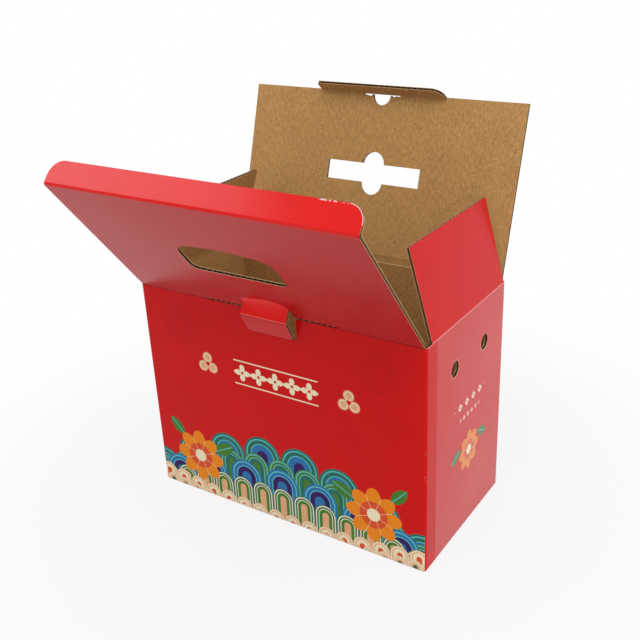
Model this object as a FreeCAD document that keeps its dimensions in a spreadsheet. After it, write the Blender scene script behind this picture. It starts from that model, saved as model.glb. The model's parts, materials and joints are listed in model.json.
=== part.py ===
import FreeCAD, Part
import math
import os
import Sketcher

# Carry box, folded from one sheet of corrugated board and shown with every flap open.
# Origin at the centre of the base, +Z up, the front panel at -Y, millimetres and degrees.
# Each flap is drawn flat on its own crease line, x along the crease and y away from it,
# and is then turned about that crease to the lean it has in the open box.

SIZES = {
    # Outer box and board
    "box_width": 328.0,
    "box_depth": 172.0,
    "box_height": 240.0,
    "board": 3.0,
    "fold_radius": 3.0,
    "crease_gap": 0.25,
    # Glue lap inside the front right corner
    "lap_width": 22.0,
    "lap_taper": 9.0,
    # Round air holes in both sides
    "vent_diameter": 16.0,
    "vent_drop": 46.0,
    "vent_front": 58.0,
    "vent_pitch": 66.0,
    # Front lid and its tuck strip
    "front_lid_inset": 2.0,
    "front_lid_length": 168.5,
    "front_lid_lean": 38.0,
    "front_tuck_height": 24.5,
    "front_tuck_fold": 78.0,
    "front_tuck_round": 16.0,
    # Hand hole in the front lid
    "handle_width": 107.5,
    "handle_centre": -2.0,
    "handle_near": 62.0,
    "handle_shoulder": 98.5,
    "handle_crown": 210.0,
    "handle_near_round": 8.0,
    "handle_far_round": 15.0,
    # Slit at the front crease and the lock tab beside it
    "slit_width": 152.0,
    "slit_centre": -1.0,
    "slit_gap": 2.6,
    "tab_width": 52.0,
    "tab_centre": 2.2,
    "tab_root": 15.0,
    "tab_upper": 13.6,
    "tab_lower": 22.6,
    "tab_fold": 63.5,
    "tab_knee": 53.0,
    "tab_round": 4.0,
    "tab_clearance": 1.0,
    # Back lid, its window and its tuck flap
    "back_lid_inset": 3.0,
    "back_lid_length": 172.0,
    "back_lid_lean": 17.5,
    "window_width": 111.0,
    "window_near": 78.0,
    "window_height": 20.0,
    "thumb_radius": 12.7,
    "back_tuck_width": 147.0,
    "back_tuck_setback": 0.5,
    "back_tuck_height": 17.8,
    "back_tuck_fold": 66.0,
    "back_tuck_left_round": 3.0,
    "back_tuck_right_round": 12.0,
    "notch_width": 44.0,
    "notch_slot": 2.2,
    "notch_radius": 10.0,
    # Side flaps
    "side_flap_length": 87.5,
    "side_front_inset": 11.0,
    "side_rear_inset": 4.0,
    "right_flap_lean": 15.0,
    "left_flap_lean": 20.0,
}


class Dim:
    """A number together with the sheet expression that gives it."""

    def __init__(self, value, text):
        self.value = value
        self.text = text

    @staticmethod
    def of(other):
        if isinstance(other, Dim):
            return other
        return Dim(float(other), repr(float(other)))

    def joined(self, other, sign, value):
        return Dim(value, f"({self.text} {sign} {other.text})")

    def __add__(self, other):
        other = Dim.of(other)
        return self.joined(other, "+", self.value + other.value)

    def __sub__(self, other):
        other = Dim.of(other)
        return self.joined(other, "-", self.value - other.value)

    def __mul__(self, other):
        other = Dim.of(other)
        return self.joined(other, "*", self.value * other.value)

    def __truediv__(self, other):
        other = Dim.of(other)
        return self.joined(other, "/", self.value / other.value)

    def __neg__(self):
        return Dim(-self.value, f"(0 - {self.text})")

    def __rsub__(self, other):
        return Dim.of(other) - self

    def __radd__(self, other):
        return Dim.of(other) + self

    def __rmul__(self, other):
        return Dim.of(other) * self


def cosine(angle):
    return Dim(math.cos(math.radians(angle.value)), f"cos({angle.text} * 1deg)")


def sine(angle):
    return Dim(math.sin(math.radians(angle.value)), f"sin({angle.text} * 1deg)")


def tangent(angle):
    return Dim(math.tan(math.radians(angle.value)), f"tan({angle.text} * 1deg)")


def make_sheet(doc):
    """Fill the spreadsheet of driving dimensions and return them as named values."""
    sheet = doc.addObject("Spreadsheet::Sheet", "Sizes")
    named = {}
    for row, (alias, value) in enumerate(SIZES.items(), start=1):
        sheet.set(f"A{row}", alias)
        sheet.set(f"B{row}", str(value))
        sheet.setAlias(f"B{row}", alias)
        named[alias] = Dim(value, f"Sizes.{alias}")
    doc.recompute()
    return named


doc = FreeCAD.newDocument("carry_box")
size = make_sheet(doc)
ZERO = Dim(0.0, "0")
board = size["board"]
half_width = size["box_width"] / 2
half_depth = size["box_depth"] / 2
height = size["box_height"]
mitre_run = board + size["crease_gap"]


# Modelling helpers


def new_body(name):
    body = doc.addObject("PartDesign::Body", name)
    body.Label = name
    return body


def new_sketch(body, name, plane, offset=ZERO):
    """A sketch on one of the body's own origin planes, moved along the plane's normal."""
    sketch = body.newObject("Sketcher::SketchObject", name)
    support = [part for part in body.Origin.OriginFeatures if part.Role == plane][0]
    sketch.AttachmentSupport = [(support, "")]
    sketch.MapMode = "FlatFace"
    sketch.setExpression("AttachmentOffset.Base.z", offset.text)
    return sketch


def pin_point(sketch, edge, end, x, y, label):
    """Hold one end of a sketch edge at (x, y) from the sketch's origin."""
    for axis, kind, value in (("x", "DistanceX", x), ("y", "DistanceY", y)):
        name = f"{label}_{axis}"
        constraint = Sketcher.Constraint(kind, -1, 1, edge, end, value.value)
        index = sketch.addConstraint(constraint)
        sketch.renameConstraint(index, name)
        sketch.setExpression(f"Constraints.{name}", value.text)


def polygon(sketch, corners, label="corner", bows=None):
    """Close a loop through the corners; bows gives an edge a radius instead of a straight run."""
    bows = bows or {}
    first = sketch.GeometryCount
    count = len(corners)
    points = [FreeCAD.Vector(x.value, y.value, 0) for x, y in corners]
    for index in range(count):
        start = points[index]
        end = points[(index + 1) % count]
        if index in bows:
            radius = bows[index].value
            run = end - start
            sagitta = radius - math.sqrt(radius ** 2 - (run.Length / 2) ** 2)
            outward = FreeCAD.Vector(run.y, -run.x, 0).normalize()
            middle = (start + end) / 2 + outward * sagitta
            arc = Part.Arc(start, middle, end)
            sketch.addGeometry(arc, False)
        else:
            sketch.addGeometry(Part.LineSegment(start, end), False)
    for index in range(count):
        here = first + index
        pin_point(sketch, here, 1, *corners[index], f"{label}_{index}")
        if index not in bows and (index + 1) % count not in bows:
            following = first + (index + 1) % count
            sketch.addConstraint(Sketcher.Constraint("Coincident", here, 2, following, 1))
    for index, radius in bows.items():
        before = first + (index - 1) % count
        after = first + (index + 1) % count
        here = first + index
        sketch.addConstraint(Sketcher.Constraint("Coincident", before, 2, here, 1))
        sketch.addConstraint(Sketcher.Constraint("Coincident", here, 2, after, 1))
        bend = sketch.addConstraint(Sketcher.Constraint("Radius", here, radius.value))
        sketch.renameConstraint(bend, f"{label}_bow_{index}")
        sketch.setExpression(f"Constraints.{label}_bow_{index}", radius.text)


def rectangle(sketch, left, right, low, high, label="corner"):
    polygon(sketch, [(left, low), (right, low), (right, high), (left, high)], label)


def circle(sketch, x, y, radius, label):
    centre = FreeCAD.Vector(x.value, y.value, 0)
    edge = sketch.addGeometry(Part.Circle(centre, FreeCAD.Vector(0, 0, 1), radius.value), False)
    pin_point(sketch, edge, 3, x, y, label)
    index = sketch.addConstraint(Sketcher.Constraint("Radius", edge, radius.value))
    sketch.renameConstraint(index, f"{label}_radius")
    sketch.setExpression(f"Constraints.{label}_radius", radius.text)


def pad(body, name, sketch, length, reverse=False, both_ways=False):
    feature = body.newObject("PartDesign::Pad", name)
    feature.Profile = sketch
    feature.setExpression("Length", length.text)
    feature.Reversed = reverse
    feature.Midplane = both_ways
    sketch.Visibility = False
    doc.recompute()
    return feature


def pocket(body, name, sketch, length=None, reverse=False, both_ways=False):
    """Cut the sketch's area away, through everything where no length is given."""
    before = body.Shape.Volume
    feature = body.newObject("PartDesign::Pocket", name)
    feature.Profile = sketch
    if length is None:
        feature.Type = "ThroughAll"
    else:
        feature.setExpression("Length", length.text)
    feature.Reversed = reverse
    feature.Midplane = both_ways
    sketch.Visibility = False
    doc.recompute()
    if not body.Shape.Volume < before:
        raise RuntimeError(f"{name} cuts nothing")
    return feature


def round_edges(body, name, base, radius, wanted):
    """Round each edge of the base feature whose middle and direction the test accepts."""
    edges = []
    for index, edge in enumerate(base.Shape.Edges, start=1):
        start = edge.valueAt(edge.FirstParameter)
        end = edge.valueAt(edge.LastParameter)
        if wanted((start + end) / 2, end - start):
            edges.append(f"Edge{index}")
    feature = body.newObject("PartDesign::Fillet", name)
    feature.Base = (base, edges)
    feature.setExpression("Radius", radius.text)
    doc.recompute()
    return feature


def mitre(body, name, left, right, edge_line, inward, depth):
    """Bevel a crease over a stretch of it, so that the fold can close to a right angle.

    inward is +1 where the board lies beyond edge_line along y, and -1 where it lies before it.
    depth is the board's inner face, above or below the outer face at z = 0.
    """
    sketch = new_sketch(body, f"{name}_sketch", "YZ_Plane", right)
    reach = edge_line + mitre_run * inward
    polygon(sketch, [(edge_line, ZERO), (reach, depth), (edge_line, depth)])
    return pocket(body, name, sketch, right - left)


def check(point, along, x=None, y=None, z=None, direction=None):
    """True where a point and its edge's direction match the given coordinates."""
    near = 0.01
    for value, target in ((point.x, x), (point.y, y), (point.z, z)):
        if target is not None and abs(value - target.value) > near:
            return False
    if direction is None:
        return True
    spread = [abs(part) > near for part in (along.x, along.y, along.z)]
    return spread == [letter in direction for letter in "xyz"]


def place(body, *steps):
    """Bind the body's placement to a chain of moves, each an (x, y, z, axis, angle)."""
    parts = []
    for x, y, z, axis, angle in steps:
        base = f"vector({x.text}; {y.text}; {z.text})"
        turn = f"rotation(vector({axis}); {angle.text})"
        parts.append(f"placement({base}; {turn})")
    body.setExpression("Placement", " * ".join(parts))


X_AXIS = "1; 0; 0"
Y_AXIS = "0; 1; 0"
# A third of a turn about the diagonal takes x to y, y to z and z to x
DIAGONAL = "1; 1; 1"
THIRD_TURN = Dim(120.0, "120")
RIGHT_ANGLE = Dim(90.0, "90")


# Box walls, bottom and glue lap


def make_box_body():
    body = new_body("box_body")
    inner_width = half_width - board
    inner_depth = half_depth - board
    sketch = new_sketch(body, "outline", "XY_Plane")
    rectangle(sketch, -half_width, half_width, -half_depth, half_depth)
    block = pad(body, "block", sketch, height)
    round_edges(
        body, "outer_folds", block, size["fold_radius"],
        lambda point, along: check(point, along, direction="z") or check(point, along, z=ZERO))

    sketch = new_sketch(body, "hollow_outline", "XY_Plane", board * 2)
    rectangle(sketch, -inner_width, inner_width, -inner_depth, inner_depth)
    pocket(body, "hollow", sketch, reverse=True)

    sketch = new_sketch(body, "inner_flap_gap", "XY_Plane", board)
    gap_half = half_width - half_depth
    rectangle(sketch, -gap_half, gap_half, -inner_depth, inner_depth)
    pocket(body, "between_inner_flaps", sketch, reverse=True)

    lap_low = board * 2
    lap_high = height - board - mitre_run
    lap_front = -inner_depth
    lap_back = lap_front + size["lap_width"]
    taper = size["lap_taper"]
    sketch = new_sketch(body, "lap_outline", "YZ_Plane", inner_width - board)
    polygon(sketch, [
        (lap_front, lap_low), (lap_back, lap_low + taper),
        (lap_back, lap_high - taper), (lap_front, lap_high)])
    pad(body, "glue_lap", sketch, board)

    make_rim(body, inner_width)
    make_lock_openings(body)

    sketch = new_sketch(body, "vent_outline", "YZ_Plane")
    vent_level = height - size["vent_drop"]
    vent_radius = size["vent_diameter"] / 2
    first_vent = size["vent_front"] - half_depth
    circle(sketch, first_vent, vent_level, vent_radius, "front_vent")
    circle(sketch, first_vent + size["vent_pitch"], vent_level, vent_radius, "rear_vent")
    pocket(body, "vents", sketch, both_ways=True)
    return body


def make_rim(body, inner_width):
    """Bevel the top of each wall along the crease of the flap that it carries."""
    slit_left = size["slit_centre"] - size["slit_width"] / 2
    slit_right = size["slit_centre"] + size["slit_width"] / 2
    low = height - mitre_run
    stretches = (
        ("front_left", -inner_width, slit_left, -1),
        ("front_right", slit_right, inner_width, -1),
        ("back", -inner_width, inner_width, 1),
    )
    for name, left, right, side in stretches:
        sketch = new_sketch(body, f"{name}_rim_sketch", "YZ_Plane", right)
        outer = half_depth * side
        inner = (half_depth - board) * side
        polygon(sketch, [(outer, height), (inner, low), (inner, height)])
        pocket(body, f"{name}_rim", sketch, right - left)

    front = size["side_front_inset"] - half_depth - size["crease_gap"]
    back = half_depth - size["side_rear_inset"] + size["crease_gap"]
    for name, side in (("left", -1), ("right", 1)):
        sketch = new_sketch(body, f"{name}_side_rim_sketch", "XZ_Plane", -front)
        outer = half_width * side
        inner = (half_width - board) * side
        polygon(sketch, [(outer, height), (inner, low), (inner, height)])
        pocket(body, f"{name}_side_rim", sketch, back - front)


def make_lock_openings(body):
    """Cut out of the front panel the place that the lock tab is folded from."""
    half_tab = size["tab_width"] / 2 + size["tab_clearance"]
    left = size["tab_centre"] - half_tab
    right = size["tab_centre"] + half_tab
    low = height - lock_depth()
    sketch = new_sketch(body, "tab_opening_outline", "XZ_Plane", half_depth)
    rectangle(sketch, left, right, low, height)
    pocket(body, "tab_opening", sketch, board)


def lock_depth():
    return size["tab_upper"] + size["tab_lower"] - size["tab_root"] + size["tab_clearance"]


# Front lid, its tuck strip and the lock tab


def front_lid_width():
    return half_width - size["front_lid_inset"]


def front_lid_frame():
    return (ZERO, -half_depth, height, X_AXIS, RIGHT_ANGLE + size["front_lid_lean"])


def make_front_lid():
    body = new_body("front_lid")
    half = front_lid_width()
    length = size["front_lid_length"]
    slit_left = size["slit_centre"] - size["slit_width"] / 2
    slit_right = size["slit_centre"] + size["slit_width"] / 2
    sketch = new_sketch(body, "lid_outline", "XY_Plane")
    rectangle(sketch, -half, half, ZERO, length)
    pad(body, "lid_board", sketch, board, reverse=True)
    mitre(body, "left_crease", -half, slit_left, ZERO, 1, -board)
    mitre(body, "right_crease", slit_right, half, ZERO, 1, -board)
    mitre(body, "tuck_crease", -half, half, length, -1, -board)

    sketch = new_sketch(body, "slit_outline", "XY_Plane")
    rectangle(sketch, slit_left, slit_right, ZERO, size["slit_gap"])
    pocket(body, "slit", sketch)

    sketch = new_sketch(body, "tab_seat_outline", "XY_Plane")
    half_tab = size["tab_width"] / 2 + size["tab_clearance"]
    tab_left = size["tab_centre"] - half_tab
    tab_right = size["tab_centre"] + half_tab
    rectangle(sketch, tab_left, tab_right, ZERO, size["tab_root"])
    pocket(body, "tab_seat", sketch)

    sketch = new_sketch(body, "hand_hole_outline", "XY_Plane")
    hole_left = size["handle_centre"] - size["handle_width"] / 2
    hole_right = size["handle_centre"] + size["handle_width"] / 2
    near = size["handle_near"]
    shoulder = size["handle_shoulder"]
    corners = [(hole_left, near), (hole_right, near), (hole_right, shoulder), (hole_left, shoulder)]
    polygon(sketch, corners, bows={2: size["handle_crown"]})
    hole = pocket(body, "hand_hole", sketch)
    near_edges = round_edges(
        body, "hand_hole_near_corners", hole, size["handle_near_round"],
        lambda point, along: check(point, along, y=near, direction="z"))
    round_edges(
        body, "hand_hole_far_corners", near_edges, size["handle_far_round"],
        lambda point, along: check(point, along, y=shoulder, direction="z"))
    place(body, front_lid_frame())
    return body


def make_front_tuck():
    body = new_body("front_tuck_flap")
    half = front_lid_width()
    reach = size["front_tuck_height"]
    sketch = new_sketch(body, "tuck_outline", "XY_Plane")
    rectangle(sketch, -half, half, ZERO, reach)
    plate = pad(body, "tuck_board", sketch, board, reverse=True)
    round_edges(
        body, "tuck_corners", plate, size["front_tuck_round"],
        lambda point, along: check(point, along, y=reach, direction="z"))
    mitre(body, "tuck_root", -half, half, ZERO, 1, -board)
    place(
        body, front_lid_frame(),
        (ZERO, size["front_lid_length"], ZERO, X_AXIS, -size["front_tuck_fold"]))
    return body


def make_lock_tab():
    """The tab leaves the lid a little above the crease and bends once on its way down."""
    body = new_body("lock_tab")
    upper = size["tab_upper"]
    lower = size["tab_lower"]
    knee = size["tab_knee"]
    tip_y = -upper - lower * cosine(knee)
    tip_z = -lower * sine(knee)
    inner_tip_y = tip_y + board * sine(knee)
    inner_tip_z = tip_z - board * cosine(knee)
    inner_knee_y = board * tangent(knee / 2) - upper
    sketch = new_sketch(body, "tab_profile", "YZ_Plane")
    polygon(sketch, [
        (ZERO, ZERO), (-upper, ZERO), (tip_y, tip_z),
        (inner_tip_y, inner_tip_z), (inner_knee_y, -board), (ZERO, -board)])
    strip = pad(body, "tab_board", sketch, size["tab_width"], both_ways=True)
    bend = round_edges(
        body, "tab_bend", strip, size["fold_radius"],
        lambda point, along: check(point, along, y=-upper, z=ZERO, direction="x"))
    middle_y = (tip_y + inner_tip_y) / 2
    middle_z = (tip_z + inner_tip_z) / 2
    round_edges(
        body, "tab_corners", bend, size["tab_round"],
        lambda point, along: check(point, along, y=middle_y, z=middle_z, direction="yz"))
    place(
        body, front_lid_frame(),
        (size["tab_centre"], size["tab_root"], ZERO, X_AXIS, -size["tab_fold"]))
    return body


# Back lid and its tuck flap


def back_lid_frame():
    return (ZERO, half_depth, height, X_AXIS, RIGHT_ANGLE - size["back_lid_lean"])


def make_back_lid():
    body = new_body("back_lid")
    half = half_width - size["back_lid_inset"]
    length = size["back_lid_length"]
    tuck_half = size["back_tuck_width"] / 2 + size["crease_gap"]
    crease = length - size["back_tuck_setback"]
    sketch = new_sketch(body, "lid_outline", "XY_Plane")
    rectangle(sketch, -half, half, ZERO, length)
    pad(body, "lid_board", sketch, board)
    mitre(body, "root_crease", -half, half, ZERO, 1, board)

    sketch = new_sketch(body, "tuck_seat_outline", "XY_Plane")
    rectangle(sketch, -tuck_half, tuck_half, crease, length)
    pocket(body, "tuck_seat", sketch, reverse=True)
    mitre(body, "tuck_crease", -tuck_half, tuck_half, crease, -1, board)

    sketch = new_sketch(body, "window_outline", "XY_Plane")
    window_half = size["window_width"] / 2
    near = size["window_near"]
    far = near + size["window_height"]
    rectangle(sketch, -window_half, window_half, near, far)
    pocket(body, "window", sketch, reverse=True)
    for name, level in (("near_thumb", near), ("far_thumb", far)):
        sketch = new_sketch(body, f"{name}_outline", "XY_Plane")
        circle(sketch, ZERO, level, size["thumb_radius"], name)
        pocket(body, name, sketch, reverse=True)

    sketch = new_sketch(body, "notch_outline", "XY_Plane")
    notch_half = size["notch_width"] / 2
    slot_low = crease - size["notch_slot"]
    rectangle(sketch, -notch_half, notch_half, slot_low, crease)
    pocket(body, "notch_slot_cut", sketch, reverse=True)
    sketch = new_sketch(body, "notch_round_outline", "XY_Plane")
    circle(sketch, ZERO, slot_low, size["notch_radius"], "notch_round")
    pocket(body, "notch_round_cut", sketch, reverse=True)
    place(body, back_lid_frame())
    return body


def make_back_tuck():
    body = new_body("back_tuck_flap")
    half = size["back_tuck_width"] / 2
    reach = size["back_tuck_height"]
    sketch = new_sketch(body, "tuck_outline", "XY_Plane")
    rectangle(sketch, -half, half, ZERO, reach)
    last = pad(body, "tuck_board", sketch, board)
    for name, place_x in (("left", -half), ("right", half)):
        last = round_edges(
            body, f"{name}_tuck_corner", last, size[f"back_tuck_{name}_round"],
            lambda point, along, x=place_x: check(point, along, x=x, y=reach, direction="z"))
    mitre(body, "tuck_root", -half, half, ZERO, 1, board)
    crease = size["back_lid_length"] - size["back_tuck_setback"]
    place(body, back_lid_frame(), (ZERO, crease, ZERO, X_AXIS, size["back_tuck_fold"]))
    return body


# Side flaps


def make_side_flap(name, side, lean):
    """side is +1 for the right flap and -1 for the left one."""
    body = new_body(name)
    front = size["side_front_inset"] - half_depth
    back = half_depth - size["side_rear_inset"]
    sketch = new_sketch(body, "flap_outline", "XY_Plane")
    rectangle(sketch, front, back, ZERO, size["side_flap_length"])
    pad(body, "flap_board", sketch, board, reverse=side > 0)
    mitre(body, "root_crease", front, back, ZERO, 1, board * -side)
    place(
        body, (half_width * side, ZERO, height, Y_AXIS, lean * -side),
        (ZERO, ZERO, ZERO, DIAGONAL, THIRD_TURN))
    return body


def check_model(bodies):
    """Stop on any failed object, or any sub-part that is null or not one valid solid."""
    doc.recompute()
    for item in doc.Objects:
        if "Invalid" in item.State or "Error" in item.State:
            raise RuntimeError(f"{item.Label} failed: {item.State}")
    for body in bodies:
        shape = body.Shape
        if shape.isNull() or not shape.isValid() or len(shape.Solids) != 1:
            raise RuntimeError(f"{body.Label} is not one valid solid")


def main():
    bodies = [
        make_box_body(),
        make_front_lid(),
        make_front_tuck(),
        make_lock_tab(),
        make_back_lid(),
        make_back_tuck(),
        make_side_flap("right_side_flap", 1, size["right_flap_lean"]),
        make_side_flap("left_side_flap", -1, size["left_flap_lean"]),
    ]
    check_model(bodies)
    os.makedirs("parts", exist_ok=True)
    for body in bodies:
        body.Shape.exportStep(f"parts/{body.Label}.step")
        print(body.Label, "volume mm3", round(body.Shape.Volume), body.Shape.BoundBox)


main()
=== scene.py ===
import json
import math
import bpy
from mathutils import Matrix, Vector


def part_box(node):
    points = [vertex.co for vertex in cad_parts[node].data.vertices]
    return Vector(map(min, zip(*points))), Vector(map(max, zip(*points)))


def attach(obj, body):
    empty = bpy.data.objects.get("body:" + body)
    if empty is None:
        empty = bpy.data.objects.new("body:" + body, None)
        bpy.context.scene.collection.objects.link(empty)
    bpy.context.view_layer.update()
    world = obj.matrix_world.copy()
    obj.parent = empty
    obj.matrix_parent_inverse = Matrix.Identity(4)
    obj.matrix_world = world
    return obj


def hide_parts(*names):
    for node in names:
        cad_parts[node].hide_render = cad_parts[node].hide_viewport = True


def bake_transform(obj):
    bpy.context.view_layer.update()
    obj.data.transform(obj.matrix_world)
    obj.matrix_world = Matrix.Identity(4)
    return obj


bl_info = {
    "name": "Corrugated carry box",
    "version": (1, 0, 0),
    "blender": (4, 5, 0),
    "location": "3D View > Sidebar > Carry box",
    "description": "Makes the carry box's corrugated boards, its print and its studio",
    "category": "Object",
}

import bmesh
import bpy
from bpy.props import FloatProperty, FloatVectorProperty, PointerProperty
from mathutils import Matrix, Vector

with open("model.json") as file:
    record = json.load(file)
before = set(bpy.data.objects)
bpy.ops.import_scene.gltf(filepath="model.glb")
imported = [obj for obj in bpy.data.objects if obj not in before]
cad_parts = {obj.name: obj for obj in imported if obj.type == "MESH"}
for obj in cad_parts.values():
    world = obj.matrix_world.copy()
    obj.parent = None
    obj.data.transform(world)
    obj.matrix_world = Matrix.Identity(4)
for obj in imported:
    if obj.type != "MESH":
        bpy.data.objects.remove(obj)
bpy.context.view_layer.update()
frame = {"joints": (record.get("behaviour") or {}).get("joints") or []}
MM = 0.001

# Places read from the frame: every crease line, and the box's own walls
CREASES = {joint["name"]: Vector(joint["pos_m"]) for joint in frame["joints"]}
BOX_LOW, BOX_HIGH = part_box("box_body")
WIDTH = BOX_HIGH.x - BOX_LOW.x
DEPTH = BOX_HIGH.y - BOX_LOW.y
HEIGHT = BOX_HIGH.z
FRONT_LENGTH = (CREASES["front_tuck_crease"] - CREASES["front_lid_crease"]).length
BACK_CREASE = (CREASES["back_tuck_crease"] - CREASES["back_lid_crease"]).length
TAB_ROOT = (CREASES["lock_tab_crease"] - CREASES["front_lid_crease"]).length


def lean_of(start, end):
    """The angle between upright and the run from start to end, towards -Y."""
    run = end - start
    return math.atan2(-run.y, run.z)


FRONT_LEAN = lean_of(CREASES["front_lid_crease"], CREASES["front_tuck_crease"])
BACK_LEAN = lean_of(CREASES["back_lid_crease"], CREASES["back_tuck_crease"])


def length(name, description, millimetres):
    return FloatProperty(
        name=name, description=description, default=millimetres * MM, unit="LENGTH", precision=5)


def angle(name, description, degrees):
    return FloatProperty(name=name, description=description, default=math.radians(degrees), subtype="ANGLE")


def channel_to_linear(value):
    return value / 12.92 if value <= 0.04045 else ((value + 0.055) / 1.055) ** 2.4


def colour(name, description, red, green, blue):
    """A colour given in the eight-bit values that a printer would quote."""
    linear = [channel_to_linear(channel / 255) for channel in (red, green, blue)]
    return FloatVectorProperty(
        name=name, description=description, default=linear, subtype="COLOR", size=3, min=0.0, max=1.0)


class CarryBoxBoard(bpy.types.PropertyGroup):
    """Sizes of the corrugated board and its folds."""

    thickness: length("Board", "Thickness of the corrugated board", 3.0)
    liner: length("Liner", "Thickness of each paper liner", 0.35)
    medium: length("Medium", "Thickness of the fluted paper", 0.22)
    flute: length("Flute pitch", "Distance from one flute to the next", 6.5)
    groove: length("Crease groove", "How far the inner liner stops short of a crease", 3.25)
    fold: length("Fold radius", "Outer radius of a folded corner", 3.0)
    lap_width: length("Glue lap", "Width of the glue lap inside the front right corner", 22.0)
    lap_taper: length("Lap taper", "How far the lap's ends run in", 9.0)


class CarryBoxCuts(bpy.types.PropertyGroup):
    """Sizes of the flaps and of what is cut through the boards."""

    vent_radius: length("Vent radius", "Radius of the round air holes", 8.0)
    vent_drop: length("Vent drop", "Depth of the vents' centres below the rim", 46.0)
    vent_front: length("Vent setback", "First vent's distance behind the front panel", 58.0)
    vent_pitch: length("Vent pitch", "Distance between the two vents of a side", 66.0)
    front_inset: length("Front lid inset", "How far the front lid is short of the box at each end", 2.0)
    tuck_height: length("Front tuck", "Height of the strip along the front lid", 24.5)
    tuck_round: length("Tuck corner", "Radius of the strip's two corners", 16.0)
    tuck_fold: angle("Tuck fold", "Turn of the strip along the front lid", 78.0)
    hole_width: length("Hand hole", "Width of the hand hole", 107.5)
    hole_centre: length("Hand hole centre", "Middle of the hand hole from the box's middle", -2.0)
    hole_near: length("Hand hole near", "Hand hole's near edge from the crease", 62.0)
    hole_shoulder: length("Hand hole shoulder", "Where the hand hole's far edge starts to bow", 98.5)
    hole_crown: length("Hand hole crown", "Radius of the hand hole's far edge", 210.0)
    hole_near_round: length("Hand hole near corner", "Radius of the near corners", 8.0)
    hole_far_round: length("Hand hole far corner", "Radius of the far corners", 15.0)
    slit_width: length("Slit", "Length of the slit along the front crease", 152.0)
    slit_centre: length("Slit centre", "Middle of the slit from the box's middle", -1.0)
    slit_gap: length("Slit gap", "Height of the slit", 2.6)
    tab_width: length("Lock tab", "Width of the lock tab", 52.0)
    tab_centre: length("Lock tab centre", "Middle of the tab from the box's middle", 2.2)
    tab_upper: length("Tab upper run", "Length of the tab above its knee", 13.6)
    tab_lower: length("Tab lower run", "Length of the tab below its knee", 22.6)
    tab_fold: angle("Tab fold", "Turn of the tab out of the lid", 63.5)
    tab_knee: angle("Tab knee", "Turn of the tab at its knee", 53.0)
    tab_round: length("Tab corner", "Radius of the tab's corners", 4.0)
    tab_clearance: length("Tab clearance", "Gap between the tab and its opening", 1.0)
    back_inset: length("Back lid inset", "How far the back lid is short of the box at each end", 3.0)
    back_setback: length("Back tuck setback", "How far the back tuck's crease lies below the edge", 0.5)
    window_width: length("Window", "Width of the window in the back lid", 111.0)
    window_near: length("Window near", "Window's near edge from the crease", 78.0)
    window_height: length("Window height", "Height of the window", 20.0)
    thumb_radius: length("Thumb round", "Radius of the half rounds at the window", 12.7)
    back_tuck_width: length("Back tuck width", "Width of the flap along the back lid", 147.0)
    back_tuck_height: length("Back tuck height", "Height of the flap along the back lid", 17.8)
    back_tuck_left: length("Back tuck left corner", "Radius of that flap's left corner", 3.0)
    back_tuck_right: length("Back tuck right corner", "Radius of that flap's right corner", 12.0)
    back_tuck_fold: angle("Back tuck fold", "Turn of that flap towards the box", 66.0)
    notch_width: length("Notch", "Width of the notch for the lock tab", 44.0)
    notch_slot: length("Notch slot", "Height of the notch's straight slot", 2.2)
    notch_radius: length("Notch round", "Radius of the notch's half round", 10.0)
    side_length: length("Side flap", "Length of the side flaps", 87.5)
    side_front: length("Side flap front", "Side flap's inset at the front", 11.0)
    side_rear: length("Side flap rear", "Side flap's inset at the rear", 4.0)
    right_lean: angle("Right flap lean", "Inward lean of the right flap", 15.0)
    left_lean: angle("Left flap lean", "Inward lean of the left flap", 20.0)


class CarryBoxColours(bpy.types.PropertyGroup):
    """Inks of the print and colours of the papers."""

    red: colour("Red", "Ground of the print", 217, 14, 14)
    # Deep red also serves as painted shade: in flute valleys, over the lids, along the lap's ridge and at the
    # tab's knee
    deep_red: colour("Deep red", "Faint ornament on the red ground", 170, 12, 16)
    cream: colour("Cream", "Ornament row and outlines", 246, 236, 200)
    peach: colour("Peach", "Trefoils and the row along the foot", 232, 178, 134)
    teal: colour("Teal", "Large scallops", 14, 112, 96)
    green: colour("Green", "Middle scallops and leaves", 62, 128, 48)
    blue: colour("Blue", "Scallop bands", 24, 118, 176)
    navy: colour("Navy", "Scallop hearts", 34, 26, 96)
    aqua: colour("Aqua", "Lines in the scallops", 92, 200, 206)
    amber: colour("Amber", "Petals of the round flowers", 240, 140, 24)
    coral: colour("Coral", "Rings of the round flowers", 222, 84, 40)
    kraft: colour("Kraft", "Bare inner liner", 205, 158, 95)
    kraft_dark: colour("Kraft fibre", "Darker fibres in the inner liner", 152, 110, 62)
    liner_edge: colour("Liner edge", "Cut edge of the printed liner", 214, 184, 144)
    medium: colour("Medium", "Fluted paper", 78, 50, 27)
    floor: colour("Floor", "Studio floor", 214, 214, 214)


GROUPS = {
    "carry_board": CarryBoxBoard,
    "carry_cuts": CarryBoxCuts,
    "carry_colours": CarryBoxColours,
}


# Shader sums


class Field:
    """A socket that carries one number, so that sums on it read as Python."""

    def __init__(self, paint, socket):
        self.paint = paint
        self.socket = socket

    def __add__(self, other):
        return self.paint.sum("ADD", self, other)

    def __radd__(self, other):
        return self.paint.sum("ADD", other, self)

    def __sub__(self, other):
        return self.paint.sum("SUBTRACT", self, other)

    def __rsub__(self, other):
        return self.paint.sum("SUBTRACT", other, self)

    def __mul__(self, other):
        return self.paint.sum("MULTIPLY", self, other)

    def __rmul__(self, other):
        return self.paint.sum("MULTIPLY", other, self)

    def __truediv__(self, other):
        return self.paint.sum("DIVIDE", self, other)

    def __abs__(self):
        return self.paint.sum("ABSOLUTE", self)

    def __mod__(self, other):
        return self.paint.sum("FLOORED_MODULO", self, other)


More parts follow.
